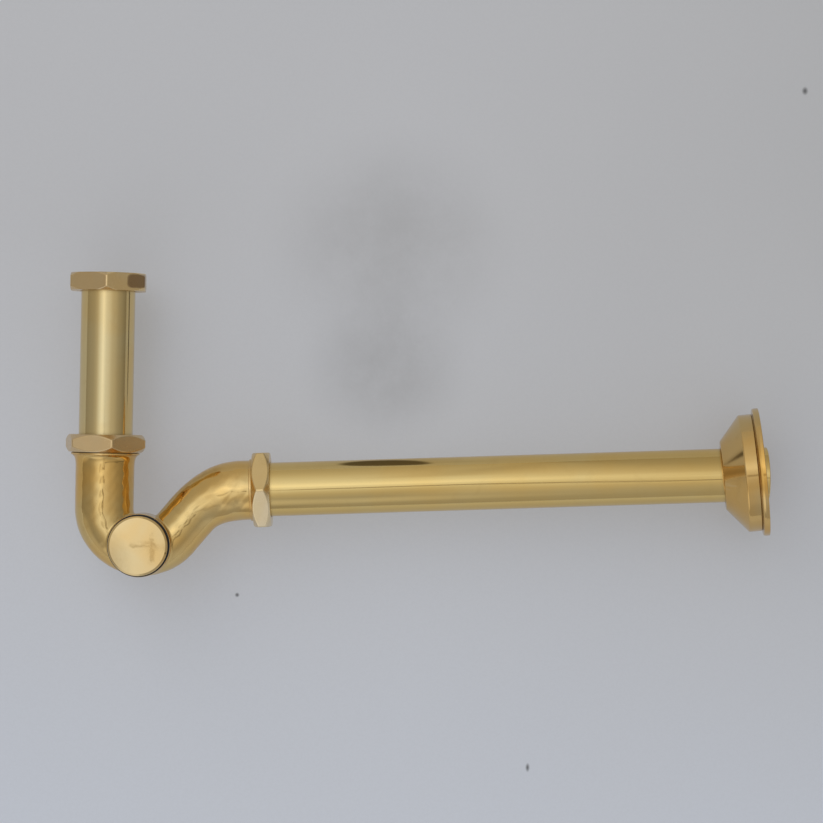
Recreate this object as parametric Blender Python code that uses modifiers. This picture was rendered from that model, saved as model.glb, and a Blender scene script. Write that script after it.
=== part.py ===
"""A brass P-trap for a basin, in metres, +Z up along the inlet and +X towards the wall.

Cast trap bend with a threaded neck at each end and a cleanout boss facing -Y, an inlet tube with
a loose coupling nut, two slip joints (nut, slip ring, cone washer), a wall tube and a loose wall
flange. The middle of the whole object's bounding box lies at the world origin.

Dimensions are in millimetres. Profiles are lists of (radius, height) about a frame's Z axis.
"""

import math

import bmesh
import bpy
from mathutils import Matrix, Vector

MM = 0.001
STEPS = 40  # segments round most turned shapes
SMALL_STEPS = 36  # round rings, washers and the boss bore
WIDE_STEPS = 48  # round the wall flange and the nut chamfers
GAP = 0.3  # between loose parts

# middle of the bounding box, from the inlet axis at the height where the outlet begins
MIDDLE = Vector((186.1, 0.0, 39.45)) * MM

# tubes
TUBE_R = 16.0
TUBE_BORE_R = 14.8
SLIP_R = 16.3  # bore of anything a tube slides through

# where the ends of the trap bend lie
INLET_NUT_Z = 22.9  # the inlet nut's open face
OUTLET_X, OUTLET_Z = 88.7, 2.0  # the outlet nut's open face, on the wall tube's axis
ARM_RISE = math.radians(2.89)  # the wall tube climbs this much above level
COUPLING_Z = 118.8  # the coupling nut's shoulder face
BOSS_X, BOSS_Z = 23.0, -31.4
FLANGE_AT = 279.9  # the flange's small end, from the outlet nut's open face
FLANGE_SKIN = 1.6
# the loose flange's tilt about Y, and about the upward square to the wall tube
FLANGE_LEAN_Y, FLANGE_LEAN_UP = math.radians(-3.8), math.radians(-4.8)

for old in list(bpy.data.objects):
    bpy.data.objects.remove(old, do_unlink=True)

collection = bpy.data.collections.new("p_trap")
bpy.context.scene.collection.children.link(collection)
cutters = bpy.data.collections.new("cutters")
bpy.context.scene.collection.children.link(cutters)


# ---- frames: local Z runs along each axis, away from the trap bend

def moved(x=0, y=0, z=0):
    return Matrix.Translation((x * MM, y * MM, z * MM))


def flange_frame():
    """The outlet's direction at the flange, tilted about the middle of the flange's small end."""
    arm_up = Vector((-math.sin(ARM_RISE), 0, math.cos(ARM_RISE)))
    lean = Vector((0, FLANGE_LEAN_Y, 0)) + arm_up * FLANGE_LEAN_UP
    pivot = OUTLET @ moved(z=FLANGE_AT + FLANGE_SKIN / 2)
    return (
        Matrix.Translation(pivot.to_translation())
        @ Matrix.Rotation(lean.length, 4, lean.normalized())
        @ pivot.to_3x3().to_4x4()
        @ moved(z=-FLANGE_SKIN / 2)
    )


AT_MIDDLE = Matrix.Translation(-MIDDLE)
INLET = AT_MIDDLE @ moved(z=INLET_NUT_Z)
OUTLET = AT_MIDDLE @ moved(OUTLET_X, 0, OUTLET_Z) @ Matrix.Rotation(math.pi / 2 - ARM_RISE, 4, "Y")
CLEANOUT = AT_MIDDLE @ moved(BOSS_X, 0, BOSS_Z) @ Matrix.Rotation(math.pi / 2, 4, "X")
COUPLING = AT_MIDDLE @ moved(z=COUPLING_Z)
FLANGE = flange_frame()


# ---- materials

BRASS_COLOUR = (0.83, 0.66, 0.36)
RUBBER_COLOUR = (0.025, 0.025, 0.027)


def material(name, colour, metallic, roughness):
    mat = bpy.data.materials.new(name)
    mat.use_nodes = True
    shader = mat.node_tree.nodes["Principled BSDF"]
    shader.inputs["Base Color"].default_value = (*colour, 1.0)
    shader.inputs["Metallic"].default_value = metallic
    shader.inputs["Roughness"].default_value = roughness
    return mat


def brass(part, roughness):
    return material(part + "_brass", colour=BRASS_COLOUR, metallic=1.0, roughness=roughness)


def rubber(part):
    return material(part + "_rubber", colour=RUBBER_COLOUR, metallic=0.0, roughness=0.75)


# ---- shapes; one made without a material is a helper for a boolean

def mark_helper(obj):
    obj.hide_render = True
    obj.display_type = "WIRE"


def add(name, mesh, frame, mat=None):
    obj = bpy.data.objects.new(name, mesh)
    if mat:
        collection.objects.link(obj)
        mesh.materials.append(mat)
    else:
        cutters.objects.link(obj)
        mark_helper(obj)
    obj.location = frame.to_translation()
    obj.rotation_euler = frame.to_euler()
    return obj


def profile_turn(name, points, closed, frame, mat, steps):
    """A profile with a screw modifier about local Z. Returns the object and the modifier."""
    edges = [(i, i + 1) for i in range(len(points) - 1)]
    if closed:
        edges.append((len(points) - 1, 0))
    mesh = bpy.data.meshes.new(name)
    mesh.from_pydata([(r * MM, 0.0, z * MM) for r, z in points], edges, [])
    obj = add(name, mesh, frame, mat)
    screw = obj.modifiers.new("turn", "SCREW")
    screw.axis = "Z"
    screw.angle = 2 * math.pi
    screw.steps = screw.render_steps = steps
    return obj, screw


def clockwise(points):
    """The points in the order that runs down a profile's outer side."""
    area = sum(a[0] * b[1] - b[0] * a[1] for a, b in zip(points, points[1:] + points[:1]))
    return points[::-1] if area > 0 else points


def turned(name, points, frame, mat=None, steps=STEPS):
    """A solid of revolution. A profile that meets the axis starts and ends on it."""
    on_axis = points[0][0] == 0
    obj, screw = profile_turn(name, clockwise(points), not on_axis, frame, mat, steps)
    screw.use_merge_vertices = True
    screw.merge_threshold = 0.01 * MM
    screw.use_smooth_shade = True
    screw.use_normal_calculate = False
    return obj


def ring(name, inner, outer, low, high, frame, mat, steps=SMALL_STEPS):
    """A plain ring between two radii and two heights."""
    points = [(inner, low), (inner, high), (outer, high), (outer, low)]
    return turned(name, points, frame, mat, steps)


def combine(obj, other, operation):
    mod = obj.modifiers.new(operation.lower(), "BOOLEAN")
    mod.operation = operation
    mod.solver = "EXACT"
    mod.object = other


def baked(obj):
    """The object with its modifiers turned into closed mesh, as a new object in its place."""
    bpy.context.view_layer.update()
    depsgraph = bpy.context.evaluated_depsgraph_get()
    mesh = bpy.data.meshes.new_from_object(obj.evaluated_get(depsgraph))
    bm = bmesh.new()
    bm.from_mesh(mesh)
    bmesh.ops.remove_doubles(bm, verts=bm.verts, dist=0.005 * MM)
    open_edges = [e for e in bm.edges if e.is_boundary]
    if open_edges:
        bmesh.ops.holes_fill(bm, edges=open_edges, sides=0)
    bmesh.ops.recalc_face_normals(bm, faces=bm.faces)
    bm.to_mesh(mesh)
    bm.free()
    name, matrix, home = obj.name, obj.matrix_world.copy(), obj.users_collection[0]
    bpy.data.objects.remove(obj, do_unlink=True)
    new = bpy.data.objects.new(name, mesh)
    home.objects.link(new)
    new.matrix_world = matrix
    if home is cutters:
        mark_helper(new)
    return new


THREAD_PITCH = 1.5
THREAD_HALF = 0.42 * THREAD_PITCH  # half the ridge's width at its foot
THREAD_SINK = 0.35  # how far the foot is buried in the core
THREAD_STEPS = 20


def thread(name, crest, root, start, turns, frame):
    """A helical ridge about local Z, to be united with the core it stands on."""
    foot = root - THREAD_SINK
    points = [(crest, start), (foot, start - THREAD_HALF), (foot, start + THREAD_HALF)]
    obj, screw = profile_turn(name, points, True, frame, None, THREAD_STEPS)
    screw.iterations = turns
    screw.screw_offset = THREAD_PITCH * MM
    screw.use_merge_vertices = False
    return baked(obj)


def swept(name, points, radii, resolution, mat=None):
    """A round bar of varying radius along (x, z) points of the XZ plane."""
    curve = bpy.data.curves.new(name, "CURVE")
    curve.dimensions = "3D"
    curve.bevel_depth = MM
    curve.bevel_resolution = resolution
    curve.use_fill_caps = True
    curve.twist_mode = "MINIMUM"
    spline = curve.splines.new("POLY")
    spline.points.add(len(points) - 1)
    for point, (x, z), radius in zip(spline.points, points, radii):
        point.co = (x * MM, 0.0, z * MM, 1.0)
        point.radius = radius
    obj = bpy.data.objects.new(name, curve)
    (collection if mat else cutters).objects.link(obj)
    obj.matrix_world = AT_MIDDLE
    new = baked(obj)
    if mat:
        new.data.materials.append(mat)
    for face in new.data.polygons:
        face.use_smooth = True
    return new


# ---- trap bend centreline

BEND_R = 23.9  # the U's centreline
BEND_X, BEND_Z = BEND_R, -10.0  # its centre, so that it starts on the inlet axis
BEND_SWEEP = math.radians(90 + 50.5)
RISE_R = 42.0  # the bend that brings the rising leg back to the wall tube's line
INLET_LEG_Z = (INLET_NUT_Z - 3.0, 12.0, 2.0)  # points down the inlet leg
OUTLET_INSET = 2.0  # the centreline stops this far in X short of the outlet nut
BEND_STEPS, LEG_STEPS, RISE_STEPS = 14, 3, 6
BODY_RESOLUTION, WATER_RESOLUTION = 12, 8
WALL = 2.9

LEG_R, LOW_R, RISING_R, END_R = 17.4, 16.5, 15.6, 17.7  # outside radii along the bend
# (share of the way along the centreline, outside radius)
RADIUS_MARKS = [
    (0.0, LEG_R), (0.2, LEG_R), (0.42, LOW_R), (0.66, RISING_R),
    (0.74, RISING_R), (0.93, END_R), (1.0, END_R),
]


def bend_path():
    """(x, z) points of the bend's centreline, from the inlet to the outlet."""
    points = [(0.0, z) for z in INLET_LEG_Z]
    for i in range(BEND_STEPS + 1):
        angle = math.pi + BEND_SWEEP * i / BEND_STEPS
        points.append((BEND_X + BEND_R * math.cos(angle), BEND_Z + BEND_R * math.sin(angle)))

    # the straight between the bends is as long as brings the second bend's end onto the
    # wall tube's axis
    climb = BEND_SWEEP - math.pi / 2
    slope = math.tan(ARM_RISE)
    x, z = points[-1]
    to_centre = Vector((math.sin(climb), -math.cos(climb))) * RISE_R
    to_end = to_centre + Vector((-math.sin(ARM_RISE), math.cos(ARM_RISE))) * RISE_R
    short = (OUTLET_Z + (x + to_end.x - OUTLET_X) * slope) - (z + to_end.y)
    length = short / (math.sin(climb) - math.cos(climb) * slope)
    for i in range(1, LEG_STEPS + 1):
        run = length * i / LEG_STEPS
        points.append((x + run * math.cos(climb), z + run * math.sin(climb)))

    x, z = points[-1]
    centre_x, centre_z = x + to_centre.x, z + to_centre.y
    for i in range(1, RISE_STEPS + 1):
        angle = climb + (ARM_RISE - climb) * i / RISE_STEPS
        points.append((centre_x - RISE_R * math.sin(angle), centre_z + RISE_R * math.cos(angle)))
    end_x = OUTLET_X - OUTLET_INSET
    points.append((end_x, OUTLET_Z + (end_x - OUTLET_X) * slope))
    return points


def radius_at(share):
    """Outside radius at a share of the way along, eased between the marks."""
    for (start, start_r), (end, end_r) in zip(RADIUS_MARKS, RADIUS_MARKS[1:]):
        if share <= end:
            u = (share - start) / (end - start)
            return start_r + (end_r - start_r) * u * u * (3 - 2 * u)


def bend_radii(points):
    """Outside radius at each point of the centreline."""
    lengths = [0.0]
    for a, b in zip(points, points[1:]):
        lengths.append(lengths[-1] + math.dist(a, b))
    return [radius_at(length / lengths[-1]) for length in lengths]


# ---- necks and cleanout boss of the trap bend

# neck heights are measured from the nut's open face
NECK_TOP = 5.2
NECK_CORE_R, THREAD_R = 19.3, 20.0
NECK_THREAD_START, NECK_TURNS = 1.0, 2
NECK_EDGE = 0.4  # bevel at the neck's mouth
COLLAR_R, OUTLET_LIP_R = 20.4, 18.4
SOCKET_INLET, SOCKET_OUTLET = 12.0, 10.0  # depths
SOCKET_R = SLIP_R + 0.05
SOCKET_MOUTH_R = 19.05
CUT_PAST = 1.0  # how far a bore's cutter runs beyond the face it opens

BOSS_R, BOSS_FACE, BOSS_EDGE = 18.6, 20.6, 0.5
CAP_THREAD_R = 14.0
BOSS_BORE_R = CAP_THREAD_R + 0.35
BOSS_PORT_R = 12.4  # the narrower bore beyond the cap's shank

NECK_MOUTH = [
    (0, NECK_TOP),
    (NECK_CORE_R - NECK_EDGE, NECK_TOP),
    (NECK_CORE_R, NECK_TOP - NECK_EDGE),
]
INLET_NECK = NECK_MOUTH + [
    (NECK_CORE_R, -0.4),
    (COLLAR_R, -0.4),
    (COLLAR_R, -1.3),
    (18.9, -2.6),
    (17.95, -4.2),
    (LEG_R + 0.1, -6.2),
    (LEG_R - 1.5, -7.6),
    (0, -7.6),
]
OUTLET_NECK = NECK_MOUTH + [
    (NECK_CORE_R, 0.2),
    (OUTLET_LIP_R, -0.5),
    (OUTLET_LIP_R, -1.8),
    (END_R - 0.6, -2.6),
    (0, -2.6),
]
BOSS = [
    (0, BOSS_FACE),
    (BOSS_R - BOSS_EDGE, BOSS_FACE),
    (BOSS_R, BOSS_FACE - BOSS_EDGE),
    (BOSS_R, -1.0),
    (BOSS_R - 2.2, -5.5),
    (BOSS_R - 7.0, -9.0),
    (0, -9.0),
]
BOSS_BORE = [
    (0, BOSS_FACE + CUT_PAST),
    (CAP_THREAD_R + 1.2, BOSS_FACE + CUT_PAST),
    (BOSS_BORE_R, BOSS_FACE - 0.6),
    (BOSS_BORE_R, 11.0),
    (BOSS_PORT_R, 10.0),
    (BOSS_PORT_R, 1.5),
    (0, 1.5),
]


def socket(name, frame, depth):
    """Cutter for a tube socket with a flared mouth."""
    points = [
        (0, NECK_TOP + CUT_PAST),
        (SOCKET_MOUTH_R, NECK_TOP + CUT_PAST),
        (17.3, 2.2),
        (SOCKET_R, 1.6),
        (SOCKET_R, -depth),
        (0, -depth),
    ]
    return turned(name, points, frame)


def trap_body():
    """The casting: the bend, necks and boss are united, then hollowed."""
    path = bend_path()
    radii = bend_radii(path)
    trap = swept("trap_body", path, radii, BODY_RESOLUTION, brass("trap", roughness=0.16))
    combine(trap, turned("inlet_neck", INLET_NECK, INLET), "UNION")
    combine(trap, turned("outlet_neck", OUTLET_NECK, OUTLET), "UNION")
    combine(trap, turned("boss", BOSS, CLEANOUT), "UNION")
    for name, frame in (("inlet_thread", INLET), ("outlet_thread", OUTLET)):
        ridge = thread(name, THREAD_R, NECK_CORE_R, NECK_THREAD_START, NECK_TURNS, frame)
        combine(trap, ridge, "UNION")

    inner_radii = [radius - WALL for radius in radii[1:-1]]
    water = swept("water_path", path[1:-1], inner_radii, WATER_RESOLUTION)
    combine(trap, water, "DIFFERENCE")
    combine(trap, socket("inlet_socket", INLET, SOCKET_INLET), "DIFFERENCE")
    combine(trap, socket("outlet_socket", OUTLET, SOCKET_OUTLET), "DIFFERENCE")
    bore = turned("boss_bore", BOSS_BORE, CLEANOUT, steps=SMALL_STEPS)
    combine(trap, bore, "DIFFERENCE")


# ---- nuts and slip joints

NUT_AF, NUT_T = 44.0, 10.4  # across flats, thickness
NUT_CORNER_R = NUT_AF / 2 / math.cos(math.pi / 6)
NUT_SHOULDER, NUT_BORE_R, NUT_HOLE_R = 2.0, 20.35, 16.5
# the chamfer's radius at the nut's faces, and its drop per unit of radius
NUT_CHAMFER_R, NUT_CHAMFER_SLOPE = 21.8, math.tan(math.radians(39))
CHAMFER_PAST = 0.2  # the chamfer cone runs this far beyond each face

RING_LOW, RING_HIGH, RING_R = 7.0, 8.1, 19.7
WASHER_LOW, WASHER_STEP, WASHER_HIGH, WASHER_R = 2.6, 5.5, 6.7, 19.4
WASHER_CONE_R, WASHER_TIP_R = 18.1, 16.9  # the cone's wide and narrow ends


def nut_chamfer(name, frame):
    """Body that trims the nut's corners at both faces."""
    out = NUT_CORNER_R + 0.5
    drop = (out - NUT_CHAMFER_R) * NUT_CHAMFER_SLOPE
    end_r = NUT_CHAMFER_R - CHAMFER_PAST / NUT_CHAMFER_SLOPE
    points = [
        (0, NUT_T + CHAMFER_PAST),
        (end_r, NUT_T + CHAMFER_PAST),
        (out, NUT_T - drop),
        (out, drop),
        (end_r, -CHAMFER_PAST),
        (0, -CHAMFER_PAST),
    ]
    return turned(name, points, frame, steps=WIDE_STEPS)


def nut_bore(name, frame, shoulder_up):
    """Cutter for a stepped hole, narrow through the shoulder."""
    if shoulder_up:
        upper, lower, step = NUT_HOLE_R, NUT_BORE_R, NUT_T - NUT_SHOULDER
    else:
        upper, lower, step = NUT_BORE_R, NUT_HOLE_R, NUT_SHOULDER
    high, low = NUT_T + CUT_PAST, -CUT_PAST
    points = [(0, high), (upper, high), (upper, step), (lower, step), (lower, low), (0, low)]
    return turned(name, points, frame)


def nut(name, frame, turn, shoulder_up):
    """A chamfered hexagonal nut standing on local z = 0, turned by an angle in degrees."""
    bm = bmesh.new()
    bmesh.ops.create_cone(
        bm,
        cap_ends=True,
        segments=6,
        radius1=NUT_CORNER_R * MM,
        radius2=NUT_CORNER_R * MM,
        depth=NUT_T * MM,
        matrix=moved(z=NUT_T / 2) @ Matrix.Rotation(math.radians(turn), 4, "Z"),
    )
    mesh = bpy.data.meshes.new(name)
    bm.to_mesh(mesh)
    bm.free()
    obj = add(name, mesh, frame, brass(name, roughness=0.28))
    combine(obj, nut_chamfer(name + "_chamfer", frame), "INTERSECT")
    combine(obj, nut_bore(name + "_bore", frame, shoulder_up), "DIFFERENCE")


def cone_washer(name, frame):
    points = [
        (SLIP_R, WASHER_LOW),
        (SLIP_R, WASHER_HIGH),
        (WASHER_R, WASHER_HIGH),
        (WASHER_R, WASHER_STEP),
        (WASHER_CONE_R, WASHER_STEP),
        (WASHER_TIP_R, WASHER_LOW),
    ]
    turned(name, points, frame, rubber(name), steps=SMALL_STEPS)


def slip_joint(side, frame, turn):
    """Nut, slip ring and cone washer round a tube where it enters the trap."""
    nut(side + "_slip_nut", frame, turn, shoulder_up=True)
    name = side + "_slip_ring"
    ring(name, SLIP_R, RING_R, RING_LOW, RING_HIGH, frame, brass(name, roughness=0.35))
    cone_washer(side + "_cone_washer", frame)


# ---- inlet tube and its coupling end

FLARE_R, FLARE_T = 19.2, 1.8  # the tube's flanged end
FLARE_LOW = COUPLING_Z + 2.3 - INLET_NUT_Z
FLARE_HIGH = FLARE_LOW + FLARE_T
FLAT_WASHER_BORE_R, FLAT_WASHER_R, FLAT_WASHER_T = 15.0, 19.4, 2.0


def inlet_tube():
    """From the inlet socket up to a flanged end inside the coupling nut."""
    low = -SOCKET_INLET + GAP
    points = [
        (TUBE_BORE_R, low),
        (TUBE_BORE_R, FLARE_HIGH),
        (FLARE_R, FLARE_HIGH),
        (FLARE_R, FLARE_LOW),
        (TUBE_R, FLARE_LOW),
        (TUBE_R, low),
    ]
    turned("inlet_tube", points, INLET, brass("inlet_tube", roughness=0.14))


def coupling_washer():
    """Flat washer above the tube's flanged end."""
    name = "coupling_washer"
    low = FLARE_HIGH + GAP
    high = low + FLAT_WASHER_T
    ring(name, FLAT_WASHER_BORE_R, FLAT_WASHER_R, low, high, INLET, rubber(name))


# ---- wall tube and its flange

WALL_TUBE_END = 306.2
# flange heights are measured from its small end
FLANGE_CONE, FLANGE_DRUM, FLANGE_RIM = 12.2, 8.3, 3.7  # lengths of its three parts
FLANGE_SMALL_R, FLANGE_DRUM_R, FLANGE_RIM_R = 20.6, 34.9, 38.1
FLANGE_THROAT_R = 16.7
GRIP_R, GRIP_T, GRIP_BEHIND = 18.3, 2.6, 4.2


def wall_tube():
    name = "wall_tube"
    low = -SOCKET_OUTLET + GAP
    mat = brass(name, roughness=0.12)
    ring(name, TUBE_BORE_R, TUBE_R, low, WALL_TUBE_END, OUTLET, mat, steps=STEPS)


def wall_flange():
    """A hollow cone, drum and rim with softened edges, open at the back."""
    drum = FLANGE_CONE
    rim = drum + FLANGE_DRUM
    back = rim + FLANGE_RIM
    inner_drum_r = FLANGE_DRUM_R - FLANGE_SKIN
    points = [
        (FLANGE_THROAT_R, 0),
        (FLANGE_SMALL_R - 0.6, 0),
        (FLANGE_SMALL_R + 0.2, 0.5),
        (FLANGE_DRUM_R - 0.5, drum - 0.4),
        (FLANGE_DRUM_R, drum + 0.5),
        (FLANGE_DRUM_R, rim - 0.5),
        (FLANGE_DRUM_R - 0.6, rim),
        (FLANGE_RIM_R - 0.6, rim),
        (FLANGE_RIM_R, rim + 0.6),
        (FLANGE_RIM_R, back - 0.4),
        (FLANGE_RIM_R - 0.4, back),
        (inner_drum_r, back),
        (inner_drum_r, drum + 0.8),
        (FLANGE_SMALL_R + 0.1, FLANGE_SKIN),
        (FLANGE_THROAT_R, FLANGE_SKIN),
    ]
    mat = brass("wall_flange", roughness=0.22)
    turned("wall_flange", points, FLANGE, mat, steps=WIDE_STEPS)


def flange_grip_ring():
    """Rubber ring round the wall tube, inside the flange."""
    name = "flange_grip_ring"
    low = FLANGE_AT + GRIP_BEHIND
    ring(name, SLIP_R, GRIP_R, low, low + GRIP_T, OUTLET, rubber(name))


# ---- cleanout cap and gasket

GASKET_BORE_R, GASKET_R, GASKET_T = 14.4, 18.4, 2.2
GASKET_LOW = BOSS_FACE + GAP
GASKET_HIGH = GASKET_LOW + GASKET_T
CAP_R, CAP_T = 17.6, 4.4
CAP_SHANK_R, CAP_SHANK, CAP_SHANK_WALL = 13.3, 8.0, 2.6  # radius, length, wall
CAP_THREAD_INSET, CAP_TURNS = 1.2, 3  # the thread starts this far up the shank


def cleanout_cap():
    """A disc with a hollow threaded shank."""
    low = GASKET_HIGH + GAP
    high = low + CAP_T
    shank_low = low - CAP_SHANK
    hollow_r = CAP_SHANK_R - CAP_SHANK_WALL
    points = [
        (0, high),
        (CAP_R - 0.5, high),
        (CAP_R, high - 0.5),
        (CAP_R, low + 0.3),
        (CAP_R - 0.3, low),
        (CAP_SHANK_R, low),
        (CAP_SHANK_R, shank_low + 0.5),
        (CAP_SHANK_R - 0.5, shank_low),
        (hollow_r, shank_low),
        (hollow_r, low - 0.5),
        (0, low - 0.5),
    ]
    cap = turned("cleanout_cap", points, CLEANOUT, brass("cleanout_cap", roughness=0.1))
    start = shank_low + CAP_THREAD_INSET
    ridge = thread("cap_thread", CAP_THREAD_R, CAP_SHANK_R, start, CAP_TURNS, CLEANOUT)
    combine(cap, ridge, "UNION")


def cleanout_gasket():
    name = "cleanout_gasket"
    radii = (GASKET_BORE_R, GASKET_R)
    ring(name, *radii, GASKET_LOW, GASKET_HIGH, CLEANOUT, rubber(name), steps=STEPS)


trap_body()
slip_joint("inlet", INLET, turn=15.3)
slip_joint("outlet", OUTLET, turn=-0.8)
nut("coupling_nut", COUPLING, turn=3.9, shoulder_up=False)
inlet_tube()
coupling_washer()
wall_tube()
wall_flange()
flange_grip_ring()
cleanout_cap()
cleanout_gasket()
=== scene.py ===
"""A brass P-trap in front of a pale board.

The pipework lies in the plane Y = 0. The inlet tube stands along +Z on the left, the cast bend
hangs under it, and the wall tube runs towards +X, rising a little, to the wall flange. The
cleanout cap faces -Y, towards the camera. Design lengths are millimetres from the inlet's axis.
"""

import math

import bpy
import numpy as np
from mathutils import Matrix, Vector


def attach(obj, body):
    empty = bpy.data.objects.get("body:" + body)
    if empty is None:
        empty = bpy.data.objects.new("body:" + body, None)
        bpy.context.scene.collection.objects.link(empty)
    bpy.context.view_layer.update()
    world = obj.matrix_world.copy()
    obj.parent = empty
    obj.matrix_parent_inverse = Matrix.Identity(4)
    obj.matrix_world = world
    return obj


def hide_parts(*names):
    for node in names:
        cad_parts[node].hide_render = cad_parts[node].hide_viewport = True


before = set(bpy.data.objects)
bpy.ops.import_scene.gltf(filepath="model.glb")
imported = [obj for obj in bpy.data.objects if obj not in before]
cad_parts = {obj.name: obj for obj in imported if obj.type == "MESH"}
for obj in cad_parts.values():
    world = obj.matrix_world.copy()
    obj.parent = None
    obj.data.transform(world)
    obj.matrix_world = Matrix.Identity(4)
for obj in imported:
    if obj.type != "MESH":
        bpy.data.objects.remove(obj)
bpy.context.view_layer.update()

MM = 0.001

# ---------------------------------------------------------------- dimensions, millimetres
MIDDLE = Vector((186.1, 0.0, 39.45))  # the frame's origin, seen from the inlet's axis
GAP = 0.3  # clearance between neighbouring pieces

# tubes
TUBE_R, TUBE_BORE_R, SLIP_R = 16.0, 14.8, 16.3
INLET_NUT_Z = 22.9
ARM_RISE = math.radians(2.89)
OUTLET_X, OUTLET_Z = 88.7, 2.0
WALL_TUBE_END = 306.2

# cast bend: the tight arc under the inlet, the wide arc before the outlet, and outside radii
BEND_X, BEND_Z, BEND_R = 23.9, -10.0, 23.9
BEND_SWEEP = math.radians(90 + 50.5)
RISE_R = 42.0
LEG_R, LOW_R, RISING_R, END_R = 17.4, 16.5, 15.6, 17.7
WALL = 2.9

# threaded necks at the bend's ends
NECK_TOP = 5.2
NECK_CORE_R, THREAD_R, THREAD_PITCH = 19.3, 20.0, 1.5
COLLAR_R, OUTLET_LIP_R = 20.4, 18.4
SOCKET_INLET, SOCKET_OUTLET = 12.0, 10.0

# hexagonal nuts
NUT_FLATS, NUT_HEIGHT, NUT_SHOULDER = 44.0, 10.4, 2.0
NUT_BORE_R, NUT_HOLE_R = 20.35, 16.5
NUT_CHAMFER_R, COUPLING_CHAMFER_R = 21.55, 22.8
NUT_EDGE_R = 1.5
COUPLING_Z = 118.8

# seals and rings under the nuts
RING_LOW, RING_HIGH, RING_R = 7.0, 8.1, 19.7
WASHER_LOW, WASHER_STEP, WASHER_HIGH, WASHER_R = 2.6, 5.5, 6.7, 19.4
FLARE_R, FLARE_LOW, FLARE_THICK = 19.2, 2.3, 1.8
FLAT_WASHER_IN, FLAT_WASHER_R, FLAT_WASHER_THICK = 15.0, 19.4, 2.0

# cleanout: boss, gasket and cap
BOSS_X, BOSS_Z, BOSS_R, BOSS_FACE = 23.0, -31.4, 18.6, 20.6
GASKET_LOW, GASKET_THICK, GASKET_IN, GASKET_R = BOSS_FACE + GAP, 2.2, 14.4, 18.4
CAP_R, CAP_THICK, CAP_SHANK = 17.6, 4.4, 8.0
CAP_THREAD_R, CAP_SHANK_R, CAP_WALL = 14.0, 13.3, 2.6

# wall flange and the rubber ring behind its throat
FLANGE_AT = 279.9
FLANGE_CONE, FLANGE_DRUM, FLANGE_RIM = 12.2, 8.3, 3.7
FLANGE_SMALL_R, FLANGE_DRUM_R, FLANGE_RIM_R = 20.6, 34.9, 38.1
FLANGE_SKIN, FLANGE_THROAT_R = 1.6, 16.7
FLANGE_LEAN_Y, FLANGE_LEAN_Z = math.radians(-3.8), math.radians(-4.8)
GRIP_R, GRIP_THICK, GRIP_BEHIND = 18.3, 2.6, 4.2

BOARD_Y = 39.5

SEGMENTS = 192
ROUND = np.arange(SEGMENTS) * 2 * math.pi / SEGMENTS

# ---------------------------------------------------------------- frames
# In millimetres, with local Z along each axis and away from the bend.
AT_MIDDLE = Matrix.Translation(-MIDDLE)
INLET = AT_MIDDLE @ Matrix.Translation((0, 0, INLET_NUT_Z))
OUTLET = (
    AT_MIDDLE
    @ Matrix.Translation((OUTLET_X, 0, OUTLET_Z))
    @ Matrix.Rotation(math.pi / 2 - ARM_RISE, 4, "Y")
)
CLEANOUT = (
    AT_MIDDLE @ Matrix.Translation((BOSS_X, 0, BOSS_Z)) @ Matrix.Rotation(math.pi / 2, 4, "X")
)
COUPLING = AT_MIDDLE @ Matrix.Translation((0, 0, COUPLING_Z))


def flange_frame():
    """The flange tips about the middle of its throat's skin, so it stands askew on the tube."""
    arm_up = Vector((-math.sin(ARM_RISE), 0, math.cos(ARM_RISE)))
    lean = Vector((0, FLANGE_LEAN_Y, 0)) + arm_up * FLANGE_LEAN_Z
    pivot = OUTLET @ Matrix.Translation((0, 0, FLANGE_AT + FLANGE_SKIN / 2))
    return (
        Matrix.Translation(pivot.to_translation())
        @ Matrix.Rotation(lean.length, 4, lean.normalized())
        @ pivot.to_3x3().to_4x4()
        @ Matrix.Translation((0, 0, -FLANGE_SKIN / 2))
    )


# ---------------------------------------------------------------- mesh building
def make_mesh(name, verts, faces, corner_normals):
    """A smooth mesh with exact normals, one row of corner_normals for each face corner."""
    mesh = bpy.data.meshes.new(name)
    mesh.vertices.add(len(verts))
    mesh.vertices.foreach_set("co", (np.asarray(verts, float) * MM).astype(np.float32).ravel())
    sizes = np.array([len(face) for face in faces], np.int32)
    starts = np.concatenate([[0], np.cumsum(sizes)[:-1]]).astype(np.int32)
    corners = np.concatenate(faces).astype(np.int32)
    mesh.loops.add(len(corners))
    mesh.loops.foreach_set("vertex_index", corners)
    mesh.polygons.add(len(sizes))
    mesh.polygons.foreach_set("loop_start", starts)
    mesh.polygons.foreach_set("loop_total", sizes)
    mesh.update(calc_edges=True)
    mesh.validate(clean_customdata=False)
    mesh.polygons.foreach_set("use_smooth", np.ones(len(mesh.polygons), bool))
    normals = np.asarray(corner_normals, float)
    normals /= np.maximum(np.linalg.norm(normals, axis=1, keepdims=True), 1e-12)
    # validate may have dropped a bad face, and then the rows no longer match
    if len(normals) == len(mesh.loops):
        mesh.normals_split_custom_set(normals.tolist())
    mesh.update()
    obj = bpy.data.objects.new(name, mesh)
    bpy.context.scene.collection.objects.link(obj)
    return obj


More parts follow.
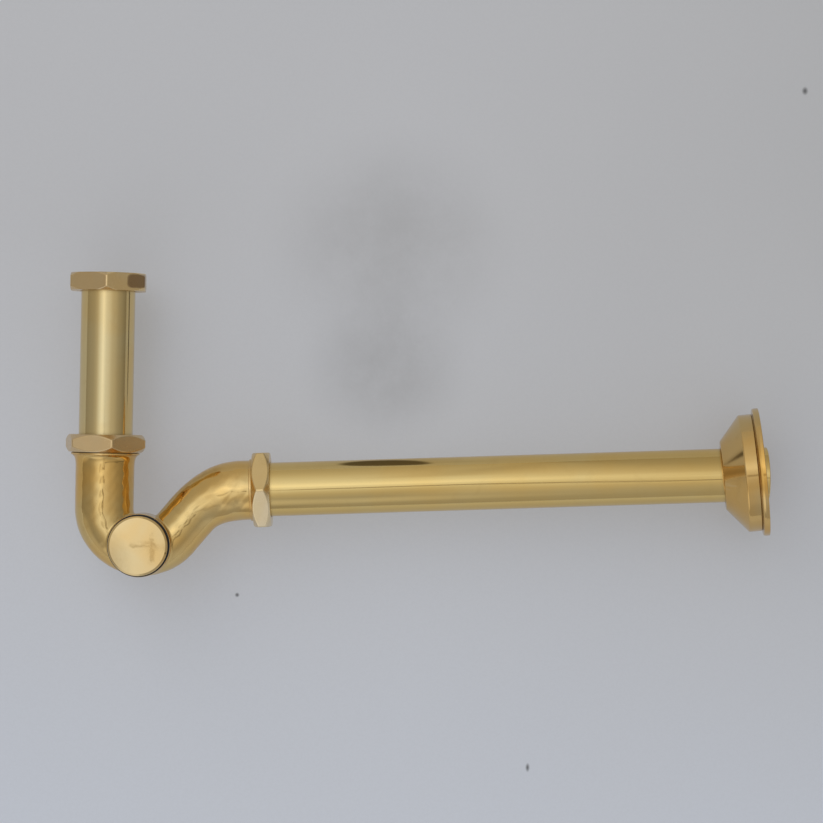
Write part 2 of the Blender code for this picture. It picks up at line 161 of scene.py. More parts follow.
def ring_surface(name, sections, where, on_axis=False):
    """A surface round local Z, set on the frame where.

    Each section is (points, normals), both (rows, around, 3), and starts on the row where the
    last one ended. The last row joins the first, or with on_axis both are poles on the axis.
    """
    around = sections[0][0].shape[1]
    rows = [sections[0][0][0]]
    strips = []  # (normals of the first row, normals of the next row)
    for points, normals in sections:
        for k in range(len(points) - 1):
            strips.append((normals[k], normals[k + 1]))
            rows.append(points[k + 1])
    if not on_axis:
        rows.pop()
    count = len(rows)
    verts, first = [], []
    total = 0
    for k, row in enumerate(rows):
        first.append(total)
        verts.append(row[:1] if on_axis and k in (0, count - 1) else row)
        total += len(verts[-1])
    faces, corner_normals = [], []
    here = np.arange(around)
    beside = (here + 1) % around
    for k, (normals_a, normals_b) in enumerate(strips):
        after = (k + 1) % count
        a, b = first[k], first[after]
        if on_axis and k == 0:
            block = [np.full(around, a), b + here, b + beside]
            normals = [normals_a[here], normals_b[here], normals_b[beside]]
        elif on_axis and after == count - 1:
            block = [a + here, np.full(around, b), a + beside]
            normals = [normals_a[here], normals_b[here], normals_a[beside]]
        else:
            block = [a + here, b + here, b + beside, a + beside]
            normals = [normals_a[here], normals_b[here], normals_b[beside], normals_a[beside]]
        faces.extend(np.stack(block, 1))
        corner_normals.append(np.stack(normals, 1).reshape(-1, 3))
    obj = make_mesh(name, np.concatenate(verts), faces, np.concatenate(corner_normals))
    world = where.copy()
    world.translation = where.to_translation() * MM
    obj.matrix_world = world
    return obj


def fillet_rows(before, corner, after, fillet):
    """(start, end, rows) of the arc that rounds a corner; rows is None if it stays sharp."""
    sharp = (corner, corner, None)
    if fillet <= 0:
        return sharp
    to_before = (before - corner) / np.linalg.norm(before - corner)
    to_after = (after - corner) / np.linalg.norm(after - corner)
    angle = math.acos(max(-1, min(1, float(to_before @ to_after))))
    if angle > math.pi - 1e-3:
        return sharp
    cut = fillet / math.tan(angle / 2)
    limit = 0.49 * min(np.linalg.norm(before - corner), np.linalg.norm(after - corner))
    radius = fillet
    if cut > limit:
        cut, radius = limit, limit * math.tan(angle / 2)
    start, end = corner + to_before * cut, corner + to_after * cut
    middle = (to_before + to_after) / np.linalg.norm(to_before + to_after)
    centre = corner + middle * (radius / math.sin(angle / 2))
    arriving, leaving = corner - before, after - corner
    turn = arriving[0] * leaving[1] - arriving[1] * leaving[0]
    sign = 1.0 if turn < 0 else -1.0  # clockwise corners bulge outwards
    first = math.atan2(*(start - centre)[::-1])
    last = math.atan2(*(end - centre)[::-1])
    sweep = (last - first + math.pi) % (2 * math.pi) - math.pi
    steps = max(3, int(abs(sweep) / math.radians(7)) + 1)
    rows = []
    for k in range(steps + 1):
        t = first + sweep * k / steps
        away = np.array([math.cos(t), math.sin(t)])
        rows.append([*(centre + away * radius), *(sign * away)])
    return start, end, np.array(rows)


def profile_rows(corners, closed):
    """Blocks of rows (r, z, normal r, normal z) along corners (r, z[, fillet]), clockwise."""
    count = len(corners)
    points = [np.array(corner[:2], float) for corner in corners]
    rounded = []
    for i, corner in enumerate(corners):
        inner = closed or 0 < i < count - 1
        fillet = corner[2] if inner and len(corner) > 2 else 0.0
        rounded.append(fillet_rows(points[i - 1], points[i], points[(i + 1) % count], fillet))
    blocks = []
    for i in range(count):
        if rounded[i][2] is not None:
            blocks.append(rounded[i][2])
        if i == count - 1 and not closed:
            break
        a, b = rounded[i][1], rounded[(i + 1) % count][0]
        length = np.linalg.norm(b - a)
        if length > 1e-6:
            along = (b - a) / length
            steps = np.linspace(0, 1, max(1, int(length / 6.0)) + 1)
            rows = [[*(a + (b - a) * t), -along[1], along[0]] for t in steps]
            blocks.append(np.array(rows))
    return blocks


def revolve(corners, closed=False, angles=ROUND):
    """Sections of a filleted profile turned round the axis."""
    cos, sin = np.cos(angles), np.sin(angles)

    def turn(radial, axial):
        height = np.repeat(axial[:, None], len(angles), 1)
        return np.stack([np.outer(radial, cos), np.outer(radial, sin), height], 2)

    return [
        (turn(block[:, 0], block[:, 1]), turn(block[:, 2], block[:, 3]))
        for block in profile_rows(corners, closed)
    ]


def turned(name, corners, where):
    """A turned ring from the closed profile corners (r, z, fillet), in either direction."""
    area = sum(a[0] * b[1] - b[0] * a[1] for a, b in zip(corners, corners[1:] + corners[:1]))
    if area > 0:
        corners = corners[::-1]
    return ring_surface(name, revolve(corners, closed=True), where)


def oblong(inner, outer, low, height, inner_fillet, outer_fillet):
    """The rectangular profile of a plain ring."""
    return [
        (inner, low, inner_fillet),
        (inner, low + height, inner_fillet),
        (outer, low + height, outer_fillet),
        (outer, low, outer_fillet),
    ]


def grid_normals(points):
    """Normals, by differences, of rows of points that close round the second index."""
    along = np.gradient(points, axis=0)
    across = (np.roll(points, -1, 1) - np.roll(points, 1, 1)) / 2
    normals = np.cross(along, across)
    return normals / np.maximum(np.linalg.norm(normals, axis=2, keepdims=True), 1e-12)


def smooth_min(a, b, blend):
    h = np.clip(0.5 + 0.5 * (b - a) / blend, 0, 1)
    return b * (1 - h) + a * h - blend * h * (1 - h)


def smooth_max(a, b, blend):
    return -smooth_min(-a, -b, blend)


def threaded(radius, z_from, z_to, depth, fade=0.8, rows_per_pitch=9, angles=ROUND):
    """A section of threaded wall, its rounded 60 degree ridge fading out at both ends.

    A positive depth stands the ridge out of the wall, a negative one into the bore.
    """
    per_pitch = rows_per_pitch
    steps = max(4, int(abs(z_to - z_from) / THREAD_PITCH * per_pitch))
    z = np.linspace(z_from, z_to, steps + 1)[:, None]
    t = angles[None, :]
    phase = (z / THREAD_PITCH - t / (2 * math.pi)) % 1.0
    ridge = 1 - 2 * np.abs(phase - 0.5)
    ridge = np.clip(ridge * 1.35 - 0.12, 0, 1)  # flattens the crest and the root
    ridge = ridge * ridge * (3 - 2 * ridge)
    z_low, z_high = min(z_from, z_to), max(z_from, z_to)
    ends = np.clip((z - z_low) / fade, 0, 1) * np.clip((z_high - z) / fade, 0, 1)
    r = radius + depth * ridge * ends
    points = np.stack([r * np.cos(t), r * np.sin(t), np.broadcast_to(z, r.shape)], 2)
    return points, grid_normals(points)


# ---------------------------------------------------------------- hexagonal nuts
CHAMFER_SLOPE = math.tan(math.radians(39))
CHAMFER_BLEND = 0.55
NUT_LEAD_IN = 0.35  # bevel where the bore meets a face
NUT_THREAD_DEPTH = 0.22


def hexagon(t, turn, flat, edge):
    """Radius, at angle t, of a hexagon with corners rounded to the radius edge."""
    from_flat = (t - turn + math.pi / 6) % (math.pi / 3) - math.pi / 6
    straight = flat / np.cos(from_flat)
    edge_centre = (flat - edge) / math.cos(math.pi / 6)
    from_corner = math.pi / 6 - np.abs(from_flat)
    inside = np.maximum(edge * edge - (edge_centre * np.sin(from_corner)) ** 2, 0)
    arc = edge_centre * np.cos(from_corner) + np.sqrt(inside)
    tangent = math.atan2((flat - edge) * math.tan(math.pi / 6), flat)
    return np.where(np.abs(from_flat) > tangent, arc, straight)


def nut(name, where, turn, shoulder_up=True, chamfer_r=NUT_CHAMFER_R):
    """A rounded hexagon, chamfered on both faces, its threaded bore ending at a shoulder."""
    per_flat = 84
    spread = (np.arange(per_flat) + 0.5) / per_flat * 2 - 1
    # closer together at the corners
    spread = np.sign(spread) * (1 - (1 - np.abs(spread)) ** 1.7) * math.pi / 6
    t = np.concatenate([turn + k * math.pi / 3 + spread for k in range(6)])
    count = len(t)
    cos, sin = np.cos(t), np.sin(t)

    def ring(r, z):
        r = np.broadcast_to(r, (count,))
        return np.stack([r * cos, r * sin, np.broadcast_to(z, (count,))], 1)

    def face(r_from, r_to, z, direction):
        normals = np.tile([0.0, 0.0, direction], (2, count, 1))
        return np.array([ring(r_from, z), ring(r_to, z)]), normals

    # the side runs from the top down, its rows closer together at both faces
    half = NUT_HEIGHT / 2
    level = np.linspace(-1, 1, 56)
    z_side = (half + half * np.sign(level) * (1 - (1 - np.abs(level)) ** 1.25))[::-1]
    outline = hexagon(t, turn, NUT_FLATS / 2, NUT_EDGE_R)
    side = []
    for z in z_side:
        cone = chamfer_r + min(z, NUT_HEIGHT - z) / CHAMFER_SLOPE
        side.append(ring(smooth_min(outline, np.full(count, cone), CHAMFER_BLEND), z))
    side = np.array(side)
    face_r = np.linalg.norm(side[0][:, :2], axis=1)

    def thread(z_from, z_to):
        return threaded(
            NUT_BORE_R, z_from, z_to, -NUT_THREAD_DEPTH, rows_per_pitch=8, angles=t
        )

    # the bore, from the bottom face up to the top one
    wide, narrow, lead = NUT_BORE_R, NUT_HOLE_R, NUT_LEAD_IN
    top = NUT_HEIGHT
    if shoulder_up:
        low_r, top_r = wide, narrow
        step = top - NUT_SHOULDER
        bore = revolve([(wide + lead, 0.0), (wide, lead)], angles=t)
        bore.append(thread(lead, step))
        shoulder = [(wide, step), (narrow, step), (narrow, top - lead), (narrow + lead, top)]
        bore += revolve(shoulder, angles=t)
    else:
        low_r, top_r = narrow, wide
        step = NUT_SHOULDER
        shoulder = [(narrow + lead, 0.0), (narrow, lead), (narrow, step), (wide, step)]
        bore = revolve(shoulder, angles=t)
        bore.append(thread(step, top - lead))
        bore += revolve([(wide, top - lead), (wide + lead, top)], angles=t)
    sections = [
        (side, grid_normals(side)),
        face(face_r, low_r + lead, 0.0, -1.0),
        *bore,
        face(top_r + lead, face_r, top, 1.0),
    ]
    return ring_surface(name, sections, where)


# ---------------------------------------------------------------- the bend's centreline
OVERRUN = 6.0  # how far the centreline runs on past each nut's face


def bend_parts():
    """The centreline as lines and arcs of the XZ plane: (kind, data, length)."""
    climb = BEND_SWEEP - math.pi / 2
    angle = math.pi + BEND_SWEEP
    bend_centre = np.array([BEND_X, BEND_Z])
    bend_end = bend_centre + np.array([BEND_R * math.cos(angle), BEND_R * math.sin(angle)])
    # from the start of the upper arc to its centre, and to its end
    to_centre = np.array([math.sin(climb), -math.cos(climb)]) * RISE_R
    to_end = to_centre + np.array([-math.sin(ARM_RISE), math.cos(ARM_RISE)]) * RISE_R
    # the straight between the arcs is as long as it takes to meet the outlet's axis
    slope = math.tan(ARM_RISE)
    arm_z = OUTLET_Z + (bend_end[0] + to_end[0] - OUTLET_X) * slope
    length = (arm_z - (bend_end[1] + to_end[1])) / (math.sin(climb) - math.cos(climb) * slope)
    rise_start = bend_end + np.array([math.cos(climb), math.sin(climb)]) * length
    rise_end = rise_start + to_end
    arm = np.array([math.cos(ARM_RISE), math.sin(ARM_RISE)])
    out = np.array([OUTLET_X, OUTLET_Z]) + arm * OVERRUN
    top = INLET_NUT_Z + OVERRUN
    turn = climb - ARM_RISE
    rise = (rise_start + to_centre, RISE_R, math.pi / 2 + climb, -turn)
    return [
        ("line", (np.array([0.0, top]), np.array([0.0, BEND_Z])), top - BEND_Z),
        ("arc", (bend_centre, BEND_R, math.pi, BEND_SWEEP), BEND_R * BEND_SWEEP),
        ("line", (bend_end, rise_start), length),
        ("arc", rise, RISE_R * turn),
        ("line", (rise_end, out), float(np.linalg.norm(out - rise_end))),
    ]


PARTS = bend_parts()
# the radii are spread from 3 mm under the inlet nut's face to 2 mm before the outlet nut's
PATH_START = OVERRUN + 3.0
PATH_TOTAL = sum(part[2] for part in PARTS) - PATH_START - (OVERRUN + 2.0)
# (fraction of the path, outside radius)
STATIONS = [
    (0.0, LEG_R), (0.2, LEG_R), (0.42, LOW_R), (0.66, RISING_R),
    (0.74, RISING_R), (0.93, END_R), (1.0, END_R),
]


def outside_radius(length):
    """The casting's outside radius at a length along the centreline."""
    t = np.clip((length - PATH_START) / PATH_TOTAL, 0, 1)
    r = np.full(t.shape, END_R)
    for (a, r_a), (b, r_b) in zip(STATIONS, STATIONS[1:]):
        u = np.clip((t - a) / (b - a), 0, 1)
        r = np.where((t >= a) & (t <= b), r_a + (r_b - r_a) * u * u * (3 - 2 * u), r)
    return r


def path_distance(x, y, z):
    """(distance from the centreline, length along it) at points."""
    best = np.full(x.shape, 1e9)
    along = np.zeros(x.shape)
    start = 0.0
    for kind, data, length in PARTS:
        if kind == "line":
            a, b = data
            way = (b - a) / length
            part = np.clip((x - a[0]) * way[0] + (z - a[1]) * way[1], 0, length)
            near_x, near_z = a[0] + way[0] * part, a[1] + way[1] * part
        else:
            centre, radius, begin, sweep = data
            angle = np.arctan2(z - centre[1], x - centre[0])
            turn = ((angle - begin) * np.sign(sweep) + math.pi) % (2 * math.pi) - math.pi
            # the far half counts with whichever end is nearer
            beyond = turn < -(2 * math.pi - abs(sweep)) / 2
            turn = np.clip(np.where(beyond, turn + 2 * math.pi, turn), 0, abs(sweep))
            t = begin + np.sign(sweep) * turn
            near_x, near_z = centre[0] + radius * np.cos(t), centre[1] + radius * np.sin(t)
            part = turn * radius
        squared = (x - near_x) ** 2 + (z - near_z) ** 2 + y * y
        nearer = squared < best
        best = np.where(nearer, squared, best)
        along = np.where(nearer, start + part, along)
        start += length
    return np.sqrt(best), along


# ---------------------------------------------------------------- the cast bend
ARM_X, ARM_Z = math.cos(ARM_RISE), math.sin(ARM_RISE)  # direction of the outlet's axis
INLET_SIDE_X, OUTLET_SIDE_X = 30, 60  # features of each end stay on its side of these
SKIN_WAVE = 0.040  # how far the casting's filed skin rises and falls
SWELL, SWELL_BELOW, SWELL_FADE = 2.6, 1.35, 1.7  # thickening under the inlet collar
CAST_END_INLET, CAST_END_OUTLET = 1.3, 1.2  # the casting stops this far inside each neck
LAND_DEPTH = 2.0  # the cast boss stops this far behind its machined face
BOSS_BACK_Y, BOSS_BACK_DEPTH = 1.0, 8.0  # start and depth of the boss's rounded back
SOCKET_PLAY = 0.05
CAP_BORE_PLAY, CAP_BORE_Y = 0.5, -9.5  # bore for the cap's shank, and its inner end
MOUTH_R, MOUTH_Y = 12.4, -1.5  # narrower hole from that bore into the bend
BORE_REACH = 40  # the bore and the hole run out past the boss's face to here
BOSS_BLEND, HOLLOW_BLEND = 1.5, 0.25


def body_distance(points):
    """About the signed distance from the cast bend, without its necks and boss land."""
    x, y, z = points[..., 0], points[..., 1], points[..., 2]
    distance, along = path_distance(x, y, z)
    radius = outside_radius(along)
    from_swell = np.minimum(z - (INLET_NUT_Z - SWELL_BELOW), 0)
    swell = np.where(x < INLET_SIDE_X, SWELL * np.exp(from_swell / SWELL_FADE), 0.0)
    # three crossed ripples, in radians per millimetre, make the skin a little uneven
    wave = (
        np.sin(0.47 * x + 0.21 * z + 1.3) * np.sin(0.36 * z - 0.29 * y + 0.4)
        + 0.7 * np.sin(0.83 * z + 0.5 * y - 0.31 * x) * np.sin(0.62 * x + 0.77 * y + 2.0)
        + 0.1 * np.sin(1.5 * x - 0.9 * z + 1.1 * y)
    )
    tube = distance - radius - swell + SKIN_WAVE * wave
    # boss: a drum towards -Y with a rounded back
    from_boss = np.hypot(x - BOSS_X, z - BOSS_Z)
    behind = np.maximum(y - BOSS_BACK_Y, 0)
    dome = np.hypot(from_boss, behind * (BOSS_R / BOSS_BACK_DEPTH)) - BOSS_R
    drum = np.where(y > BOSS_BACK_Y, dome, from_boss - BOSS_R) + 0.6 * SKIN_WAVE * wave
    drum = np.maximum(drum, -y - (BOSS_FACE - LAND_DEPTH))
    solid = smooth_min(tube, drum, BOSS_BLEND)
    # ends, just inside the machined necks
    inlet_end = z - (INLET_NUT_Z - CAST_END_INLET)
    outlet_along = (x - OUTLET_X) * ARM_X + (z - OUTLET_Z) * ARM_Z
    outlet_end = outlet_along + CAST_END_OUTLET
    solid = np.maximum(solid, np.where(x < INLET_SIDE_X, inlet_end, -1e3))
    solid = np.maximum(solid, np.where(x > OUTLET_SIDE_X, outlet_end, -1e3))
    # water path and sockets
    water = distance - (radius - WALL)
    socket_r = SLIP_R + SOCKET_PLAY
    socket_in = np.maximum(np.hypot(x, y) - socket_r, (INLET_NUT_Z - SOCKET_INLET) - z)
    across = (x - OUTLET_X) * -ARM_Z + (z - OUTLET_Z) * ARM_X
    socket_out = np.maximum(np.hypot(across, y) - socket_r, -SOCKET_OUTLET - outlet_along)
    hollow = np.minimum(np.minimum(water, socket_in), socket_out)
    # cleanout bore and the hole behind it
    for bore_r, inner_y in ((CAP_THREAD_R + CAP_BORE_PLAY, CAP_BORE_Y), (MOUTH_R, MOUTH_Y)):
        ends = np.maximum(y - inner_y, -y - BORE_REACH)
        hollow = np.minimum(hollow, np.maximum(from_boss - bore_r, ends))
    return smooth_max(solid, -hollow, HOLLOW_BLEND)


def gradient(field, points):
    reach = 0.02
    slope = np.empty_like(points)
    for axis in range(3):
        step = np.zeros(3)
        step[axis] = reach
        slope[:, axis] = (field(points + step) - field(points - step)) / (2 * reach)
    return slope


def settle(field, points, times, most):
    """Moves points onto the surface, by no more than most at a time."""
    for _ in range(times):
        value = field(points)
        slope = gradient(field, points)
        squared = np.maximum((slope * slope).sum(1), 0.05)
        step = -(value / squared)[:, None] * slope
        length = np.linalg.norm(step, axis=1, keepdims=True)
        points = points + step * np.minimum(1, most / np.maximum(length, 1e-9))
    return points


def net_quads(inside, index):
    """A quad round each grid edge that crosses the surface, from the cells' vertex numbers."""
    shape = inside.shape
    quads = []
    for axis in range(3):
        others = [a for a in range(3) if a != axis]
        near = [slice(1, shape[a] - 1) for a in range(3)]
        near[axis] = slice(0, shape[axis] - 1)
        far = list(near)
        far[axis] = slice(1, shape[axis])
        near_inside, far_inside = inside[tuple(near)], inside[tuple(far)]
        found = np.argwhere(near_inside != far_inside)
        leaving = near_inside[tuple(found.T)]
        base = found.copy()
        base[:, others] += 1
        ring = []
        for offset in ((-1, -1), (0, -1), (0, 0), (-1, 0)):
            cell = base.copy()
            cell[:, others] += offset
            ring.append(index[tuple(cell.T)])
        quad = np.stack(ring, 1)
        # the solid at the low end means the face looks along +axis
        forward = leaving if axis != 1 else ~leaving
        quads.append(np.where(forward[:, None], quad, quad[:, ::-1]))
    return np.concatenate(quads)


def surface_net(field, low, high, size):
    """Vertices, quads and normals of the surface where field is 0, on a grid of cells."""
    shape = [int(math.ceil((b - a) / size)) + 1 for a, b in zip(low, high)]
    axes = [a + size * np.arange(count) for a, count in zip(low, shape)]
    values = np.empty(shape, np.float32)
    for i in range(shape[0]):
        grid = np.meshgrid(axes[0][i : i + 1], axes[1], axes[2], indexing="ij")
        values[i] = field(np.stack(grid, -1))[0]
    inside = values < 0
    nx, ny, nz = (count - 1 for count in shape)
    corners_inside = sum(
        inside[a : nx + a, b : ny + b, c : nz + c].astype(np.int8)
        for a in (0, 1)
        for b in (0, 1)
        for c in (0, 1)
    )
    active = (corners_inside > 0) & (corners_inside < 8)
    cells = np.argwhere(active)
    index = np.full(active.shape, -1, np.int64)
    index[active] = np.arange(len(cells))
    quads = net_quads(inside, index)
    points = np.array(low) + (cells + 0.5) * size
    points = settle(field, points, 3, size * 0.6)
    # even the quads out along the surface, then settle back on it
    edges = np.concatenate([quads[:, [k, (k + 1) % 4]] for k in range(4)])
    for _ in range(2):
        total = np.zeros_like(points)
        count = np.zeros(len(points))
        for a, b in ((0, 1), (1, 0)):
            for k in range(3):
                weights = points[edges[:, b], k]
                total[:, k] += np.bincount(edges[:, a], weights=weights, minlength=len(points))
            count += np.bincount(edges[:, a], minlength=len(points))
        points = points + 0.5 * (total / count[:, None] - points)
        points = settle(field, points, 2, size * 0.5)
    return points, quads, gradient(field, points)


def cast_bend():
    low, high = (-20.5, -21.5, -53.0), (92.0, 20.5, 24.5)
    points, quads, normals = surface_net(body_distance, low, high, 0.5)
    return make_mesh("trap_bend", points - np.array(MIDDLE), quads, normals[quads.ravel()])


# ---------------------------------------------------------------- machined parts of the bend
# Outside of each neck below its thread: (radius, z, fillet).
INLET_SKIRT = [
    (NECK_CORE_R, -0.4), (COLLAR_R, -0.4, 0.25), (COLLAR_R, -1.5, 0.3), (18.2, -1.7, 0.2),
    (18.0, -3.0),
]
OUTLET_SKIRT = [
    (NECK_CORE_R, 0.2), (OUTLET_LIP_R, -0.45, 0.3), (OUTLET_LIP_R, -1.75, 0.35),
    (17.1, -1.9, 0.2), (17.0, -3.0),
]


def neck(name, where, skirt):
    """A machined neck in the bend's end: tapered seat, rim, thread, and collar or lip."""
    core, top = NECK_CORE_R, NECK_TOP
    seat = (SLIP_R + 0.9, 1.9)
    thread_top = top - 0.5
    rim = [seat, (18.6, top, 0.15), (core - 0.1, top, 0.35), (core, thread_top)]
    sections = [
        *revolve(rim),
        threaded(core, thread_top, skirt[0][1], THREAD_R - core, fade=0.5),
        *revolve([*skirt, (SLIP_R, skirt[-1][1]), (SLIP_R, 1.7), seat]),
    ]
    return ring_surface(name, sections, where)


def boss_land():
    """The machined front of the cleanout boss, with its internal thread."""
    radius, front = BOSS_R + 0.08, BOSS_FACE
    inner = CAP_THREAD_R + 0.45
    lead = 0.7  # bevel at the mouth
    back, thread_back = front - 5.6, front - 5.5
    outside = [
        (inner + lead, front), (radius, front, 0.4), (radius, front - 2.5, 0.25),
        (radius - 0.8, front - 2.8), (radius - 1.0, back), (inner, back),
        (inner, thread_back),
    ]
    sections = [
        *revolve(outside),
        threaded(inner, thread_back, front - lead, -0.3),
        *revolve([(inner, front - lead), (inner + lead, front)]),
    ]
    return ring_surface("cleanout_boss_land", sections, CLEANOUT)


def cap():
    """The cleanout cap: a slightly domed disc with a hollow threaded shank."""
    low = GASKET_LOW + GASKET_THICK + GAP
    high = low + CAP_THICK
    shank = low - CAP_SHANK
    lead = 0.6  # plain length at each end of the thread
    floor = low - 1.0  # the bottom of the hollow in the shank
    radius, shank_r = CAP_R, CAP_SHANK_R
    inner = shank_r - CAP_WALL
    disc = [
        (0, high + 0.12), (6.0, high + 0.1), (12.0, high + 0.04),
        (radius - 1.2, high - 0.04, 0.6), (radius, high - 0.7, 0.7),
        (radius, low + 0.35, 0.25), (radius - 0.35, low, 0.2),
        (shank_r, low), (shank_r, low - lead),
    ]
    hollow = [
        (shank_r, shank + lead), (shank_r - lead, shank, 0.2), (inner + 0.4, shank, 0.3),
        (inner, shank + 0.6, 0.3), (inner, floor, 0.5), (0, floor),
    ]
    thread = threaded(shank_r, low - lead, shank + lead, CAP_THREAD_R - shank_r)
    sections = [*revolve(disc), thread, *revolve(hollow)]
    return ring_surface("cleanout_cap_turned", sections, CLEANOUT, on_axis=True)


# ---------------------------------------------------------------- shader nodes
class Graph:
    """Short names for making and joining shader nodes."""

    def __init__(self, tree):
        self.tree = tree

    def link(self, source, socket):
        self.tree.links.new(source, socket)

    def set(self, socket, value):
        """Links an output to the socket, or sets a plain value."""
        if isinstance(value, bpy.types.NodeSocket):
            self.link(value, socket)
        else:
            socket.default_value = value

    def node(self, kind, inputs=None, **values):
        node = self.tree.nodes.new(kind)
        for key, value in values.items():
            setattr(node, key, value)
        for key, value in (inputs or {}).items():
            self.set(node.inputs[key], value)
        return node

    def place(self):
        return self.node("ShaderNodeTexCoord").outputs["Object"]

    def split(self, vector):
        return self.node("ShaderNodeSeparateXYZ", inputs={0: vector}).outputs

    def math(self, operation, a, b=0.0, c=0.0, clamp=False):
        inputs = {0: a, 1: b, 2: c}
        node = self.node("ShaderNodeMath", inputs, operation=operation, use_clamp=clamp)
        return node.outputs[0]

    def plus(self, a, b):
        return self.math("ADD", a, b)

    def minus(self, a, b):
        return self.math("SUBTRACT", a, b)

    def times(self, a, b):
        return self.math("MULTIPLY", a, b)

    def over(self, a, b):
        return self.math("DIVIDE", a, b)

    def times_plus(self, a, b, c, clamp=False):
        return self.math("MULTIPLY_ADD", a, b, c, clamp)

    def squares(self, a, b):
        return self.plus(self.times(a, a), self.times(b, b))

    def ramp(self, value, start, end, out=(0.0, 1.0), linear=False):
        """Runs from out[0] to out[1] as the value goes from start to end."""
        node = self.node(
            "ShaderNodeMapRange",
            inputs={0: value, 1: start, 2: end, 3: out[0], 4: out[1]},
            interpolation_type="LINEAR" if linear else "SMOOTHSTEP",
        )
        return node.outputs[0]

    def band(self, value, offset, start, end):
        """A ramp on the size of value + offset."""
        return self.ramp(self.math("ABSOLUTE", self.plus(value, offset)), start, end)

    def noise(self, vector, scale, detail=4.0, roughness=0.55, distortion=0.0):
        inputs = {
            "Vector": vector,
            "Scale": scale,
            "Detail": detail,
            "Roughness": roughness,
            "Distortion": distortion,
        }
        return self.node("ShaderNodeTexNoise", inputs).outputs["Fac"]

    def stretch(self, vector, scales):
        inputs = {0: vector, 1: scales}
        return self.node("ShaderNodeVectorMath", inputs, operation="MULTIPLY").outputs[0]

    def mix(self, factor, a, b, blend="MIX"):
        node = self.node(
            "ShaderNodeMix", data_type="RGBA", blend_type=blend, clamp_factor=True
        )
        self.set(node.inputs[0], factor)
        for key, colour in ((6, a), (7, b)):
            plain = isinstance(colour, tuple)
            self.set(node.inputs[key], (*colour, 1.0) if plain else colour)
        return node.outputs[2]

    def stain(self, base, mask, amount, colour):
        return self.mix(self.times(mask, amount), base, colour)

    def tint(self, base, colour):
        return self.mix(1.0, base, colour, "MULTIPLY")

    def bump(self, height, bsdf):
        """Drives the normal with a height in metres."""
        inputs = {"Strength": 1.0, "Distance": 1.0, "Height": height}
        self.link(self.node("ShaderNodeBump", inputs).outputs[0], bsdf.inputs["Normal"])


def new_material(name):
    material = bpy.data.materials.new(name)
    material.use_nodes = True
    tree = material.node_tree
    return material, Graph(tree), tree.nodes["Principled BSDF"]


# ---------------------------------------------------------------- brass
# Noise scales that draw the marks out round local Z, along it, or freely by hand.
GRAINS = {
    "around": (160.0, 160.0, 5200.0),
    "along": (4200.0, 4200.0, 60.0),
    "free": (2600.0, 700.0, 1100.0),
}
HAIR_SCALES = (900.0, 3100.0, 260.0)
# painted shade: the near-black brown laid into crevices that the ambient occlusion finds
CREVICE_SHADE = (0.10, 0.065, 0.03)


def shade(colour, *factors):
    return tuple(min(1, channel * factor) for channel, factor in zip(colour, factors))


